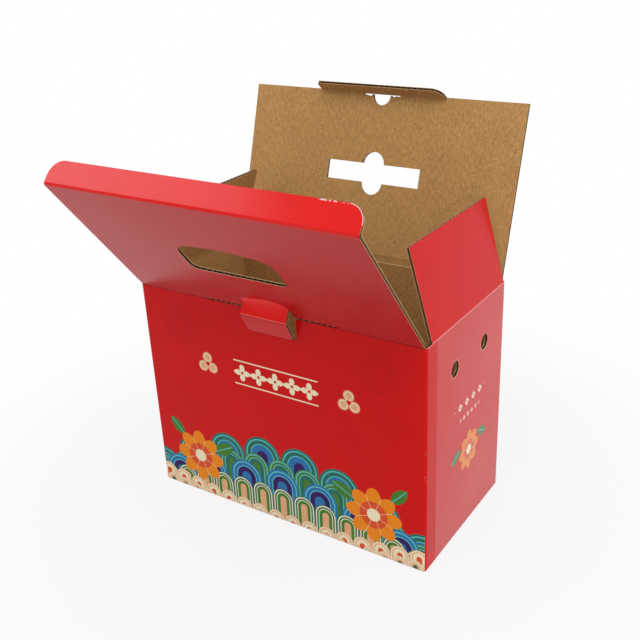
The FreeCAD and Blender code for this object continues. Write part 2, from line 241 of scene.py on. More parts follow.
class Paint:
    """A material under construction: every node comes from one method."""

    def __init__(self, name):
        self.material = bpy.data.materials.new(name)
        self.material.use_nodes = True
        self.tree = self.material.node_tree
        self.tree.nodes.clear()

    def node(self, kind, settings=None, inputs=None):
        """Add a node: its settings first, then the values or links of its sockets."""
        made = self.tree.nodes.new(kind)
        for key, value in (settings or {}).items():
            setattr(made, key, value)
        for key, value in (inputs or {}).items():
            socket = made.inputs[key]
            if isinstance(value, Field):
                value = value.socket
            if isinstance(value, bpy.types.NodeSocket):
                self.tree.links.new(value, socket)
            elif socket.type == "RGBA" and len(value) == 3:
                socket.default_value = (*value, 1.0)
            else:
                socket.default_value = value
        return made

    def sum(self, operation, *values):
        made = self.node("ShaderNodeMath", {"operation": operation}, dict(enumerate(values)))
        return Field(self, made.outputs[0])

    def least(self, first, second):
        return self.sum("MINIMUM", first, second)

    def most(self, first, second):
        return self.sum("MAXIMUM", first, second)

    def root(self, value):
        return self.sum("SQRT", value)

    def rise(self, value, low, high):
        """0 at low, 1 at high and smooth between; low may be the larger one."""
        made = self.node(
            "ShaderNodeMapRange", {"interpolation_type": "SMOOTHSTEP"},
            {"Value": value, "From Min": low, "From Max": high})
        return Field(self, made.outputs["Result"])

    def mix(self, mask, under, over):
        """Lay the colour over onto the colour under, where the mask is 1."""
        made = self.node("ShaderNodeMix", {"data_type": "RGBA"}, {0: mask, 6: under, 7: over})
        return made.outputs[2]

    def axes(self, vector):
        """The three parts of a vector given in metres, as fields in millimetres."""
        split = self.node("ShaderNodeSeparateXYZ", None, {"Vector": vector})
        return [Field(self, socket) / MM for socket in split.outputs]

    def object_place(self):
        return self.node("ShaderNodeTexCoord").outputs["Object"]

    def board_place(self):
        return self.node("ShaderNodeUVMap", {"uv_map": "board"}).outputs["UV"]

    def stretched(self, vector, turn, scale):
        """The place on the board, turned by an angle and scaled along its two directions."""
        made = self.node(
            "ShaderNodeMapping", None,
            {"Vector": vector, "Rotation": (0.0, 0.0, turn), "Scale": (*scale, 1.0)})
        return made.outputs["Vector"]

    def noise(self, vector, scale, detail=3.0, roughness=0.5):
        made = self.node(
            "ShaderNodeTexNoise", {"noise_dimensions": "3D"},
            {"Vector": vector, "Scale": scale, "Detail": detail, "Roughness": roughness})
        return Field(self, made.outputs["Fac"])

    def bump(self, height):
        """A normal from a height field in millimetres."""
        made = self.node("ShaderNodeBump", None, {"Height": height, "Distance": MM, "Strength": 1.0})
        return made.outputs["Normal"]

    def surface(self, **inputs):
        """Close the material with one principled shader."""
        named = {key.replace("_", " "): value for key, value in inputs.items()}
        shader = self.node("ShaderNodeBsdfPrincipled", None, named)
        self.node("ShaderNodeOutputMaterial", None, {"Surface": shader.outputs[0]})
        return self.material


# Papers and print, with lengths in millimetres and scales per metre

INK_SOFT = 0.25
RIB_PITCH = 3.25
RIB_HEIGHT = 0.035
SOFT_RIB_HEIGHT = RIB_HEIGHT * 0.3
WAVE_HEIGHT = 0.7
GRAIN_HEIGHT = 0.002
FIBRE_HEIGHT = 0.05
WAVE_SCALE = 14.0
GRAIN_SCALE = 900.0
SIDE_STRIP = 20.5
SIDE_MIDDLE = 8.0
SCALLOP_SPAN = 150.0
SCALLOP_RINGS = (0.86, 0.62, 0.30)
PETAL_DEPTH = 0.28
FLOWER_RING = 0.50
FLOWER_HEART = 0.22
LEAF_OFFSET = 0.75
LEAF_ROUND = 1.25
LEAF_VEIN = 1.15
TREFOIL_PARTS = (0.86, 0.60, 0.34)
BURST_RAYS = 24.0
BURST_HOLLOW = (5.0, 8.0)
BURST_EDGE = (24.0, 18.0)
FILM_ROUGHNESS = 0.12
WORN_START = 44.0
WORN_STOP = 14.0
CREASE_SHADE = (0.11, 0.006, 0.008)
# A pale pink painted highlight along folded creases
CREASE_HIGHLIGHT = (0.86, 0.36, 0.33)
# A brighter red that is painted light on the strips and the tab's upper run
PAINTED_LIGHT_RED = (0.92, 0.012, 0.010)
BARE_PAPER = (0.78, 0.62, 0.55)


def inks():
    return bpy.context.scene.carry_colours


def disc(paint, x, z, centre_x, centre_z):
    """Distance from a centre, in millimetres."""
    run = x - centre_x
    rise = z - centre_z
    return paint.root(run * run + rise * rise)


def filled(paint, distance, radius):
    return paint.rise(distance, radius + INK_SOFT, radius - INK_SOFT)


def line(paint, distance, radius, half):
    """A drawn ring: 1 where the distance is within half of the radius."""
    return paint.rise(abs(distance - radius), half + INK_SOFT, half - INK_SOFT)


def polar(paint, x, z, centre):
    """Distance from a centre and the angle round it."""
    distance = disc(paint, x, z, *centre)
    return distance, paint.sum("ARCTAN2", z - centre[1], x - centre[0])


def petals_round(paint, turn, count):
    """1 along the middle of each petal and 0 between two."""
    return abs(paint.sum("COSINE", turn * (count / 2)))


def scallop_row(paint, ground, x, z, row):
    """A row of round-headed scallops; lift is how much higher the heads stand at the panel's ends."""
    pitch, phase, radius, foot, lift, *names = row
    body, band, heart, rim = [getattr(inks(), name) for name in names]
    edge, middle, core = [radius * part for part in SCALLOP_RINGS]
    local = (x - phase) % pitch - pitch / 2
    share = (x - local) / SCALLOP_SPAN
    head = share * share * lift + foot
    above = paint.most(z - head, 0.0)
    distance = paint.root(local * local + above * above)
    ground = paint.mix(filled(paint, distance, radius), ground, body)
    ground = paint.mix(line(paint, distance, edge, 0.7), ground, rim)
    ground = paint.mix(filled(paint, distance, middle), ground, band)
    ground = paint.mix(line(paint, distance, middle, 0.5), ground, rim)
    return paint.mix(filled(paint, distance, core), ground, heart)


def rosette(paint, ground, x, z, centre, radius, petals, names):
    """A round flower: deep petals parted by fine lines, a ring and a heart."""
    petal_ink, ring_ink, heart_ink = [getattr(inks(), name) for name in names]
    cream = inks().cream
    distance, turn = polar(paint, x, z, centre)
    petal = petals_round(paint, turn, petals)
    valley = radius * (1.0 - PETAL_DEPTH)
    edge = petal * (radius * PETAL_DEPTH) + valley
    heart = radius * FLOWER_HEART
    ground = paint.mix(paint.rise(distance - edge, INK_SOFT, -INK_SOFT), ground, petal_ink)
    ground = paint.mix(filled(paint, distance, radius * FLOWER_RING), ground, ring_ink)
    parting = paint.rise(petal * distance, 1.1, 0.4) * filled(paint, distance, valley)
    ground = paint.mix(parting, ground, cream)
    ground = paint.mix(filled(paint, distance, heart), ground, heart_ink)
    return paint.mix(line(paint, distance, heart, 0.5), ground, cream)


def leaf(paint, ground, x, z, centre, reach, turn):
    """A pointed leaf: where two circles overlap, with a pale vein."""
    colours = inks()
    run = x - centre[0]
    rise = z - centre[1]
    along = run * math.cos(turn) + rise * math.sin(turn)
    across = rise * math.cos(turn) - run * math.sin(turn)
    low = disc(paint, along, across, 0.0, reach * LEAF_OFFSET)
    high = disc(paint, along, across, 0.0, -reach * LEAF_OFFSET)
    edge = paint.most(low, high)
    ground = paint.mix(filled(paint, edge, reach * LEAF_ROUND), ground, colours.green)
    vein = paint.rise(abs(across), 0.7, 0.3) * filled(paint, edge, reach * LEAF_VEIN)
    return paint.mix(vein, ground, colours.aqua)


def trefoil(paint, ground, x, z, centre, radius):
    """Three pale discs with cream rings round a small heart."""
    colours = inks()
    lobe, ring, heart = [radius * part for part in TREFOIL_PARTS]
    for turn in (90, 210, 330):
        along = centre[0] + radius * math.cos(math.radians(turn))
        up = centre[1] + radius * math.sin(math.radians(turn))
        distance = disc(paint, x, z, along, up)
        ground = paint.mix(filled(paint, distance, lobe), ground, colours.peach)
        ground = paint.mix(line(paint, distance, ring, 0.45), ground, colours.cream)
    return paint.mix(filled(paint, disc(paint, x, z, *centre), heart), ground, colours.red)


def burst(paint, ground, x, z, centre):
    """A faint round of rays, a little darker than the red ground."""
    distance, turn = polar(paint, x, z, centre)
    rays = paint.rise(paint.sum("COSINE", turn * BURST_RAYS), 0.4, 0.9)
    rays = rays * paint.rise(distance, *BURST_HOLLOW) * paint.rise(distance, *BURST_EDGE)
    return paint.mix(rays * 0.55, ground, inks().deep_red)


def ornament_row(paint, ground, x, z):
    """Cream four-petalled flowers with a dot between each pair, and a line over and under them."""
    colours = inks()
    pitch, half, level = 20.0, 50.0, 166.0
    petal_reach, petal_foot, eye_radius, dot_radius, rule_rise = 6.0, 3.2, 1.6, 1.5, 13.0
    local = (x + half) % pitch - pitch / 2
    height = z - level
    distance, turn = polar(paint, local, height, (0.0, 0.0))
    edge = petals_round(paint, turn, 4) * petal_reach + petal_foot
    shape = paint.rise(distance - edge, INK_SOFT, -INK_SOFT)
    gap = pitch / 2 - abs(local)
    dot = filled(paint, disc(paint, gap, height, 0.0, 0.0), dot_radius)
    rule = paint.rise(abs(abs(height) - rule_rise), 0.9, 0.5)
    reach = paint.rise(abs(x), half + 0.1, half)
    ground = paint.mix(paint.most(paint.most(shape, dot), rule) * reach, ground, colours.cream)
    return paint.mix(filled(paint, distance, eye_radius) * reach, ground, colours.red)


def front_artwork(paint, ground, x, z):
    """The front panel's picture, the same to the left and right: a flower row over a hill of scallops."""
    for side in (-1, 1):
        ground = burst(paint, ground, x, z, (side * 116.0, 204.0))
        ground = trefoil(paint, ground, x, z, (side * 84.0, 166.0), 7.0)
    # Each row: pitch, phase, radius, head's height, lift, and the inks of body, band, heart and rim
    rows = (
        (46.0, 0.0, 23.0, 74.0, -46.0, "teal", "blue", "navy", "aqua"),
        (32.0, 16.0, 16.0, 60.0, -38.0, "green", "teal", "green", "aqua"),
        (46.0, 23.0, 20.0, 44.0, -28.0, "blue", "navy", "blue", "aqua"),
        (26.0, 13.0, 13.0, 28.0, -16.0, "teal", "green", "peach", "cream"),
    )
    for row in rows:
        ground = scallop_row(paint, ground, x, z, row)
    for side in (-1, 1):
        ground = leaf(paint, ground, x, z, (side * 74.0, 66.0), 15.0, math.pi / 2 + side * 1.1)
        ground = leaf(paint, ground, x, z, (side * 136.0, 78.0), 13.0, math.pi / 2 - side * 0.75)
        ground = rosette(paint, ground, x, z, (side * 108.0, 48.0), 31.0, 8, ("amber", "coral", "cream"))
    foot_rows = (
        (21.0, 0.0, 10.5, 1.0, 12.0, "peach", "cream", "coral", "cream"),
        (17.0, 9.0, 8.5, -5.0, 8.0, "peach", "peach", "teal", "cream"),
    )
    for row in foot_rows:
        ground = scallop_row(paint, ground, x, z, row)
    return ornament_row(paint, ground, x, z)


def side_artwork(paint, ground, y, z):
    """The side panels' picture: diamond rows over a round flower with two leaves, and a faint peach ring
    round each air hole.
    """
    colours = inks()
    cuts = bpy.context.scene.carry_cuts
    level = (HEIGHT - cuts.vent_drop) / MM
    for index in range(2):
        centre = (cuts.vent_front + index * cuts.vent_pitch - DEPTH / 2) / MM
        rim = line(paint, disc(paint, y, z, centre, level), cuts.vent_radius / MM + 0.8, 0.5)
        ground = paint.mix(rim * 0.3, ground, colours.peach)
    ground = leaf(paint, ground, y, z, (SIDE_MIDDLE - 30.0, 94.0), 11.0, 0.4)
    ground = leaf(paint, ground, y, z, (SIDE_MIDDLE + 30.0, 94.0), 11.0, math.pi - 0.4)
    ground = rosette(paint, ground, y, z, (SIDE_MIDDLE, 88.0), 22.0, 8, ("amber", "coral", "cream"))
    # Each row: height, half the width of a diamond, and half the row's length
    for level, size, half in ((146.0, 4.4, 34.0), (131.0, 2.6, 22.0)):
        pitch = size * 3.4
        local = (y - SIDE_MIDDLE) % pitch - pitch / 2
        diamond = abs(local) + abs(z - level)
        reach = paint.rise(abs(y - SIDE_MIDDLE), half + 0.1, half)
        mark = filled(paint, diamond, size) * reach
        ground = paint.mix(mark, ground, colours.cream)
        ground = paint.mix(filled(paint, diamond, size * 0.35) * reach, ground, colours.red)
    return ground


def film_finish(paint, ground, across, rib_shade, rib_height, gloss, sheen):
    """Glossy laminate over pressed flutes: shallow ribs, slow waves and fine grain under a film, with painted
    shade deepening the red in the flute valleys.
    """
    place = paint.object_place()
    ribs = paint.sum("SINE", across * (2 * math.pi / RIB_PITCH))
    slow = paint.noise(place, WAVE_SCALE, 2.0)
    fine = paint.noise(place, GRAIN_SCALE, 2.0)
    # Painted shade: the red deepens towards deep red in the flute valleys
    valley = paint.rise(ribs, -0.2, 1.0) * rib_shade
    ground = paint.mix(valley, ground, inks().deep_red)
    height = ribs * rib_height + slow * WAVE_HEIGHT + fine * GRAIN_HEIGHT
    rough = fine * 0.05 + slow * 0.12 + 0.09
    coat = (slow * 0.8 + 0.6) * sheen
    return paint.surface(
        Base_Color=ground, Roughness=rough, Normal=paint.bump(height), Specular_IOR_Level=gloss,
        Coat_Weight=coat, Coat_Roughness=FILM_ROUGHNESS)


def chips(paint, ground, near):
    """Small flecks of bare paper where the print is folded or rubbed."""
    place = paint.object_place()
    spots = paint.noise(place, 420.0, 4.0, 0.65)
    gates = paint.noise(place, 60.0, 2.0)
    mask = paint.rise(spots, 0.60, 0.64) * paint.rise(gates, 0.52, 0.60) * near
    return paint.mix(mask, ground, inks().liner_edge)


def red_ground(paint):
    colours = inks()
    tone = paint.noise(paint.object_place(), 22.0, 3.0)
    deep = [channel * 0.86 for channel in colours.red]
    return paint.mix(tone, deep, colours.red)


def printed_box():
    """Print of the box's walls, with its artwork on the front and both sides, painted shade along the front's
    rim and the glue lap's ridge, and a painted highlight along the sides' rims.
    """
    paint = Paint("printed_box")
    colours = inks()
    x, y, z = paint.axes(paint.object_place())
    across = x + y
    half_width = WIDTH / 2 / MM
    half_depth = DEPTH / 2 / MM
    top = HEIGHT / MM
    ground = red_ground(paint)
    front = front_artwork(paint, ground, x, z)
    # Painted shade along the front panel's top crease
    front = paint.mix(paint.rise(z, top - 1.2, top - 0.4) * 0.6, front, CREASE_SHADE)
    side = side_artwork(paint, ground, y, z)
    behind = y + half_depth
    # Painted shade: a faint dark line where the glue lap's ridge shows through the side
    lap_ridge_shade = paint.rise(abs(behind - SIDE_STRIP), 0.9, 0.3)
    side = paint.mix(lap_ridge_shade * 0.5, side, colours.deep_red)
    # Painted highlight along the side walls' top creases
    side = paint.mix(paint.rise(z, top - 1.3, top - 0.5) * 0.55, side, CREASE_HIGHLIGHT)
    on_front = paint.rise(y, 1.0 - half_depth, 0.4 - half_depth)
    on_side = paint.rise(abs(x), half_width - 1.0, half_width - 0.4)
    inked = paint.mix(on_front, ground, front)
    inked = paint.mix(on_side, inked, side)
    fold = paint.least(abs(x) - (half_width - 3.2), abs(y) - (half_depth - 3.2))
    inked = chips(paint, inked, paint.rise(fold, 0.4, 1.6))
    sheen = on_side * paint.rise(behind, SIDE_STRIP - 0.5, SIDE_STRIP + 0.5) * 0.40 + 0.02
    return film_finish(paint, inked, across, rib_shade=0.12, rib_height=RIB_HEIGHT, gloss=0.09, sheen=sheen)


def printed_flap(name, crease_tone, share, rib_shade, depth):
    """Plain red print, darkened by depth as painted shade, with a line along the crease: painted shade on the
    lids and a painted highlight on the side flaps.
    """
    paint = Paint(name)
    across, up, _ = paint.axes(paint.board_place())
    # Painted shade: the whole red ground deepened by depth
    ground = paint.mix(depth, red_ground(paint), inks().deep_red)
    # The crease line in crease_tone: painted shade on the lids, a painted highlight on the side flaps
    line_mask = paint.rise(abs(up), 1.0, 0.4) * share
    ground = paint.mix(line_mask, ground, crease_tone)
    return film_finish(paint, ground, across, rib_shade, rib_height=RIB_HEIGHT, gloss=0.13, sheen=0.03)


def printed_lid():
    """Print of the two lids: darkened as painted shade, its crease a painted shade line, and the flutes show
    through it with painted shade in their valleys.
    """
    return printed_flap("printed_lid", CREASE_SHADE, share=0.6, rib_shade=0.42, depth=0.4)


def printed_side_flap():
    """Print of the side flaps: a pale painted highlight along the crease."""
    return printed_flap("printed_side_flap", CREASE_HIGHLIGHT, share=0.55, rib_shade=0.15, depth=0.0)


def printed_strip():
    """Print of the strips along the lids, their red brightened as painted light; the front one's edge is
    chipped near its bare right corner.
    """
    paint = Paint("printed_strip")
    across, up, _ = paint.axes(paint.board_place())
    cuts = bpy.context.scene.carry_cuts
    far = cuts.tuck_height / MM
    end = (WIDTH / 2 - cuts.front_inset) / MM
    corner = cuts.tuck_round / MM
    # Painted light: the strips' red is brightened
    ground = paint.mix(0.35, red_ground(paint), PAINTED_LIGHT_RED)
    start = end - WORN_START
    stop = end - WORN_STOP
    worn = paint.rise(across, start, start + 4.0) * paint.rise(across, stop, stop - 3.0)
    worn = worn * paint.rise(up, far - 1.7, far - 0.8)
    spots = paint.noise(paint.object_place(), 300.0, 3.0, 0.6)
    ground = paint.mix(worn * paint.rise(spots, 0.49, 0.54), ground, BARE_PAPER)
    turn = disc(paint, across, up, end - corner, far - corner)
    rim = line(paint, turn, corner - 0.3, 0.5)
    rim = rim * paint.rise(across, end - corner, end - corner + 1.0)
    rim = rim * paint.rise(up, far - corner, far - corner + 1.0)
    ground = paint.mix(rim * 0.8, ground, BARE_PAPER)
    return film_finish(
        paint, ground, across, rib_shade=0.10, rib_height=SOFT_RIB_HEIGHT, gloss=0.15, sheen=0.16)


def printed_tab():
    """Print of the lock tab: its upper run brightened as painted light, with a painted shade line and a
    painted highlight line at its knee.
    """
    paint = Paint("printed_tab")
    colours = inks()
    across, up, _ = paint.axes(paint.board_place())
    knee = bpy.context.scene.carry_cuts.tab_upper / MM
    # Painted light: the upper run is brighter than the lid
    ground = paint.mix(paint.rise(up, knee + 0.5, knee - 0.5) * 0.85, red_ground(paint), PAINTED_LIGHT_RED)
    # Painted shade line just below the knee
    ground = paint.mix(paint.rise(abs(up - (knee + 0.6)), 0.7, 0.3) * 0.8, ground, colours.deep_red)
    # Painted highlight line just above the knee
    ground = paint.mix(paint.rise(abs(up - (knee - 0.8)), 0.8, 0.3) * 0.35, ground, CREASE_HIGHLIGHT)
    return film_finish(
        paint, ground, across, rib_shade=0.05, rib_height=SOFT_RIB_HEIGHT, gloss=0.11, sheen=0.03)


def kraft_liner():
    """Bare inner liner: long fibres across a mottled brown, faintly ribbed by the flutes."""
    paint = Paint("kraft_liner")
    colours = inks()
    place = paint.board_place()
    across, _, _ = paint.axes(place)
    long = paint.noise(paint.stretched(place, 0.6, (1.0, 0.3)), 560.0, 4.0, 0.6)
    cross = paint.noise(paint.stretched(place, -0.5, (0.35, 1.0)), 640.0, 3.0, 0.6)
    mottled = paint.noise(place, 34.0, 3.0)
    fibres = long * 0.6 + cross * 0.4
    ribs = paint.sum("SINE", across * (2 * math.pi / RIB_PITCH))
    shade = paint.rise(fibres, 0.34, 0.66) * 0.65 + mottled * 0.35 + ribs * 0.02
    tone = paint.mix(shade, colours.kraft_dark, colours.kraft)
    height = fibres * FIBRE_HEIGHT + ribs * SOFT_RIB_HEIGHT
    return paint.surface(Base_Color=tone, Roughness=0.88, Normal=paint.bump(height))


def paper_edge():
    """The pale cut edge and hidden face of a liner."""
    paint = Paint("paper_edge")
    colours = inks()
    grain = paint.noise(paint.object_place(), 1500.0, 3.0)
    tone = paint.mix(grain, colours.kraft, colours.liner_edge)
    return paint.surface(Base_Color=tone, Roughness=0.9, Normal=paint.bump(grain * 0.04))


def fluted_paper():
    """The waved paper between the liners."""
    paint = Paint("fluted_paper")
    colours = inks()
    grain = paint.noise(paint.object_place(), 700.0, 4.0)
    dark = [channel * 0.6 for channel in colours.medium]
    tone = paint.mix(grain, dark, colours.medium)
    return paint.surface(Base_Color=tone, Roughness=0.95, Normal=paint.bump(grain * 0.06))


MAKERS = {
    "printed_box": printed_box,
    "printed_lid": printed_lid,
    "printed_side_flap": printed_side_flap,
    "printed_strip": printed_strip,
    "printed_tab": printed_tab,
    "kraft_liner": kraft_liner,
    "paper_edge": paper_edge,
    "fluted_paper": fluted_paper,
}
INK, EDGE, KRAFT, FLUTE = range(4)


def finish(name):
    return bpy.data.materials.get(name) or MAKERS[name]()


# Board making, flat first: x across the flutes, y along them and z inward from the printed face

CORNER_SEGMENTS = 8
FLUTE_FACETS = 8
SMOOTH_ANGLE = math.radians(32)
PAST_FOLD = 1.15
FOLD_BAND = 0.5 * MM


def add_loop(flat, corners):
    """Add a closed loop of edges; each corner is (x, y, radius)."""
    verts = [flat.verts.new((x, y, 0.0)) for x, y, _ in corners]
    flat.faces.new(verts)
    rounded = [(vert, corner[2]) for vert, corner in zip(verts, corners) if corner[2] > 0.0]
    for vert, radius in rounded:
        bmesh.ops.bevel(
            flat, geom=[vert], offset=radius, offset_type="OFFSET", affect="VERTICES",
            segments=CORNER_SEGMENTS, profile=0.5, material=-1)
    bmesh.ops.delete(flat, geom=flat.faces[:], context="FACES_ONLY")


def add_round(flat, x, y, radius, segments=40):
    bmesh.ops.create_circle(
        flat, cap_ends=False, radius=radius, segments=segments, matrix=Matrix.Translation((x, y, 0.0)))


def crowned_edge(half):
    """The hand hole's far edge, left to right: a round corner, a shallow crown and a round corner."""
    cuts = bpy.context.scene.carry_cuts
    corner = cuts.hole_far_round
    crown = cuts.hole_crown
    foot = cuts.hole_shoulder - math.sqrt(crown ** 2 - half ** 2)
    level = foot + math.sqrt((crown - corner) ** 2 - (half - corner) ** 2)
    tangent = math.atan2(level - foot, half - corner)
    right = [
        (half - corner + corner * math.cos(at), level + corner * math.sin(at))
        for at in steps(0.0, tangent, 9)]
    top = [(crown * math.cos(at), foot + crown * math.sin(at)) for at in steps(tangent, math.pi / 2, 6)[1:]]
    side = right + top
    return [(-x, y, 0.0) for x, y in side] + [(x, y, 0.0) for x, y in side[-2::-1]]


def cut_rows(flat, places, axis):
    """Cut the flat shape along straight lines at the given places."""
    normal = Vector((1.0, 0.0, 0.0)) if axis == "x" else Vector((0.0, 1.0, 0.0))
    for place in places:
        geometry = flat.verts[:] + flat.edges[:] + flat.faces[:]
        bmesh.ops.bisect_plane(flat, geom=geometry, dist=1e-7, plane_co=normal * place, plane_no=normal)


def steps(low, high, count):
    return [low + (high - low) * index / count for index in range(count + 1)]


def flute_cuts(low, high):
    """Places across the board that give each flute its facets."""
    step = bpy.context.scene.carry_board.flute / FLUTE_FACETS
    first = math.ceil(low / step)
    last = math.floor(high / step)
    return [index * step for index in range(first, last + 1)]


def thicken(flat, depth):
    """Give the flat sheet a thickness towards +z."""
    made = bmesh.ops.extrude_face_region(flat, geom=flat.faces[:], use_keep_orig=True)
    moved = [item for item in made["geom"] if isinstance(item, bmesh.types.BMVert)]
    bmesh.ops.translate(flat, verts=moved, vec=(0.0, 0.0, depth))


class Crease:
    """One edge of a board that ends at a crease: where it is, and how far the outer liner stops short."""

    def __init__(self, level, left, right, side, trim=0.0):
        self.level = level
        self.left = left
        self.right = right
        self.side = side
        self.trim = trim

    def shift(self, vert):
        board = bpy.context.scene.carry_board
        near = 1e-5
        on_line = abs(vert.y - self.level) < near and self.left - near < vert.x < self.right + near
        if not on_line:
            return 0.0
        return self.side * (self.trim + vert.z * (board.groove - self.trim) / board.thickness)


def sheet(draw, place, kind, creases=(), cuts_x=(), cuts_y=(), outer_finish=INK):
    """One paper layer of a board as a mesh: kind is outer, flutes or inner."""
    board = bpy.context.scene.carry_board
    flat = bmesh.new()
    draw(flat)
    bmesh.ops.triangle_fill(flat, use_beauty=True, edges=flat.edges[:])
    bmesh.ops.dissolve_limit(flat, angle_limit=0.01, verts=[], edges=[])
    cut_rows(flat, cuts_x, "x")
    cut_rows(flat, cuts_y, "y")
    if kind == "flutes":
        lows = min(vert.co.x for vert in flat.verts)
        highs = max(vert.co.x for vert in flat.verts)
        cut_rows(flat, flute_cuts(lows, highs), "x")
        middle = board.thickness / 2 - board.medium / 2
        swing = middle - board.liner
        for vert in flat.verts:
            vert.co.z = middle + swing * math.sin(2 * math.pi * vert.co.x / board.flute)
        thicken(flat, board.medium)
    else:
        base = 0.0 if kind == "outer" else board.thickness - board.liner
        bmesh.ops.translate(flat, verts=flat.verts[:], vec=(0.0, 0.0, base))
        thicken(flat, board.liner)
    bmesh.ops.recalc_face_normals(flat, faces=flat.faces[:])
    uv = flat.loops.layers.uv.new("board")
    near = board.liner / 10
    for face in flat.faces:
        level = face.calc_center_median().z
        if kind == "flutes":
            face.material_index = FLUTE
        elif kind == "outer":
            face.material_index = outer_finish if level < near else EDGE
        else:
            face.material_index = KRAFT if level > board.thickness - near else EDGE
        for loop in face.loops:
            loop[uv].uv = (loop.vert.co.x, loop.vert.co.y)
    for vert in flat.verts:
        vert.co.y += sum(crease.shift(vert.co) for crease in creases)
    for vert in flat.verts:
        vert.co = place(vert.co)
    bmesh.ops.recalc_face_normals(flat, faces=flat.faces[:])
    return flat


def finish_piece(name, meshes, ink, body=None):
    """Join the layers into one piece, give it its papers and let it ride."""
    joined = bmesh.new()
    for mesh in meshes:
        part = bpy.data.meshes.new("part")
        mesh.to_mesh(part)
        mesh.free()
        joined.from_mesh(part)
        bpy.data.meshes.remove(part)
    for face in joined.faces:
        face.smooth = True
    for edge in joined.edges:
        edge.smooth = edge.calc_face_angle(math.pi) < SMOOTH_ANGLE
    data = bpy.data.meshes.new(name)
    joined.to_mesh(data)
    joined.free()
    piece = bpy.data.objects.new(name, data)
    bpy.context.scene.collection.objects.link(piece)
    for material in (ink, "paper_edge", "kraft_liner", "fluted_paper"):
        data.materials.append(finish(material))
    if body:
        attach(piece, body)
    else:
        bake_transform(piece)
    return piece


def layers(draw, place, creases=(), outer_finish=INK, cuts_y=()):
    return [
        sheet(draw, place, "outer", creases, cuts_y=cuts_y, outer_finish=outer_finish),
        sheet(draw, place, "flutes", creases, cuts_y=cuts_y),
        sheet(draw, place, "inner", creases, cuts_y=cuts_y),
    ]


class Plane:
    """Where a flat board stands: its corner, and its directions across, up and inward."""

    def __init__(self, origin, across, up, inward):
        self.origin = Vector(origin)
        self.across = Vector(across)
        self.up = Vector(up)
        self.inward = Vector(inward)

    def __call__(self, flat):
        return self.origin + self.across * flat.x + self.up * flat.y + self.inward * flat.z

    @staticmethod
    def leaning(origin, lean, facing):
        """A board on a crease along x, leaning towards -Y; facing is -1 where its print faces -Y."""
        up = (0.0, -math.sin(lean), math.cos(lean))
        inward = Vector((0.0, math.cos(lean), math.sin(lean))) * -facing
        return Plane(origin, (1.0, 0.0, 0.0), up, inward)


# Box walls and bottom


class Wall:
    """One wall of the box, met in turn going round from the rear left corner."""

    def __init__(self, start, corner, along, outward, span):
        self.start = start
        self.corner = Vector(corner)
        self.along = Vector(along)
        self.outward = Vector(outward)
        self.span = span

    def middle(self):
        return self.start + self.span / 2

    def plane(self):
        base = self.corner + self.along * (self.span / 2)
        return Plane(base, self.along, (0.0, 0.0, 1.0), -self.outward)


def box_walls():
    half_x = WIDTH / 2
    half_y = DEPTH / 2
    return {
        "left": Wall(0.0, (-half_x, half_y, 0), (0, -1, 0), (-1, 0, 0), DEPTH),
        "front": Wall(DEPTH, (-half_x, -half_y, 0), (1, 0, 0), (0, -1, 0), WIDTH),
        "right": Wall(DEPTH + WIDTH, (half_x, -half_y, 0), (0, 1, 0), (1, 0, 0), DEPTH),
        "back": Wall(2 * DEPTH + WIDTH, (half_x, half_y, 0), (-1, 0, 0), (0, 1, 0), WIDTH),
    }


def wrapped(flat):
    """Fold the printed liner round the four upright corners and in under the bottom edge."""
    fold = bpy.context.scene.carry_board.fold
    walls = list(box_walls().values())
    for index, wall in enumerate(walls):
        local = flat.x - wall.start
        if local <= wall.span or index == len(walls) - 1:
            break
    share = 0.0
    other = wall.outward
    if local < fold:
        other = walls[index - 1].outward
        share = (fold - local) / (2 * fold)
        base = wall.corner + wall.along * fold - wall.outward * fold
    elif local > wall.span - fold:
        other = walls[(index + 1) % len(walls)].outward
        share = (local - wall.span + fold) / (2 * fold)
        base = wall.corner + wall.along * (wall.span - fold) - wall.outward * fold
    else:
        base = wall.corner + wall.along * local - wall.outward * fold
    turn = share * math.pi / 2
    outward = wall.outward * math.cos(turn) + other * math.sin(turn)
    depth = fold - flat.z
    if flat.y >= fold:
        return base + outward * depth + Vector((0.0, 0.0, flat.y))
    under = (fold - flat.y) / (2 * fold) * math.pi / 2
    low = Vector((0.0, 0.0, fold - depth * math.sin(under)))
    return base + outward * depth * math.cos(under) + low


def side_crease(name):
    """The stretch of a side wall's rim that carries its flap, from the wall's middle."""
    cuts = bpy.context.scene.carry_cuts
    gap = bpy.context.scene.carry_board.groove - bpy.context.scene.carry_board.thickness
    low = cuts.side_front - DEPTH / 2 - gap
    high = DEPTH / 2 - cuts.side_rear + gap
    return (low, high) if name == "right" else (-high, -low)


def slit_ends():
    cuts = bpy.context.scene.carry_cuts
    return cuts.slit_centre - cuts.slit_width / 2, cuts.slit_centre + cuts.slit_width / 2


def tab_ends():
    cuts = bpy.context.scene.carry_cuts
    half = cuts.tab_width / 2 + cuts.tab_clearance
    return cuts.tab_centre - half, cuts.tab_centre + half


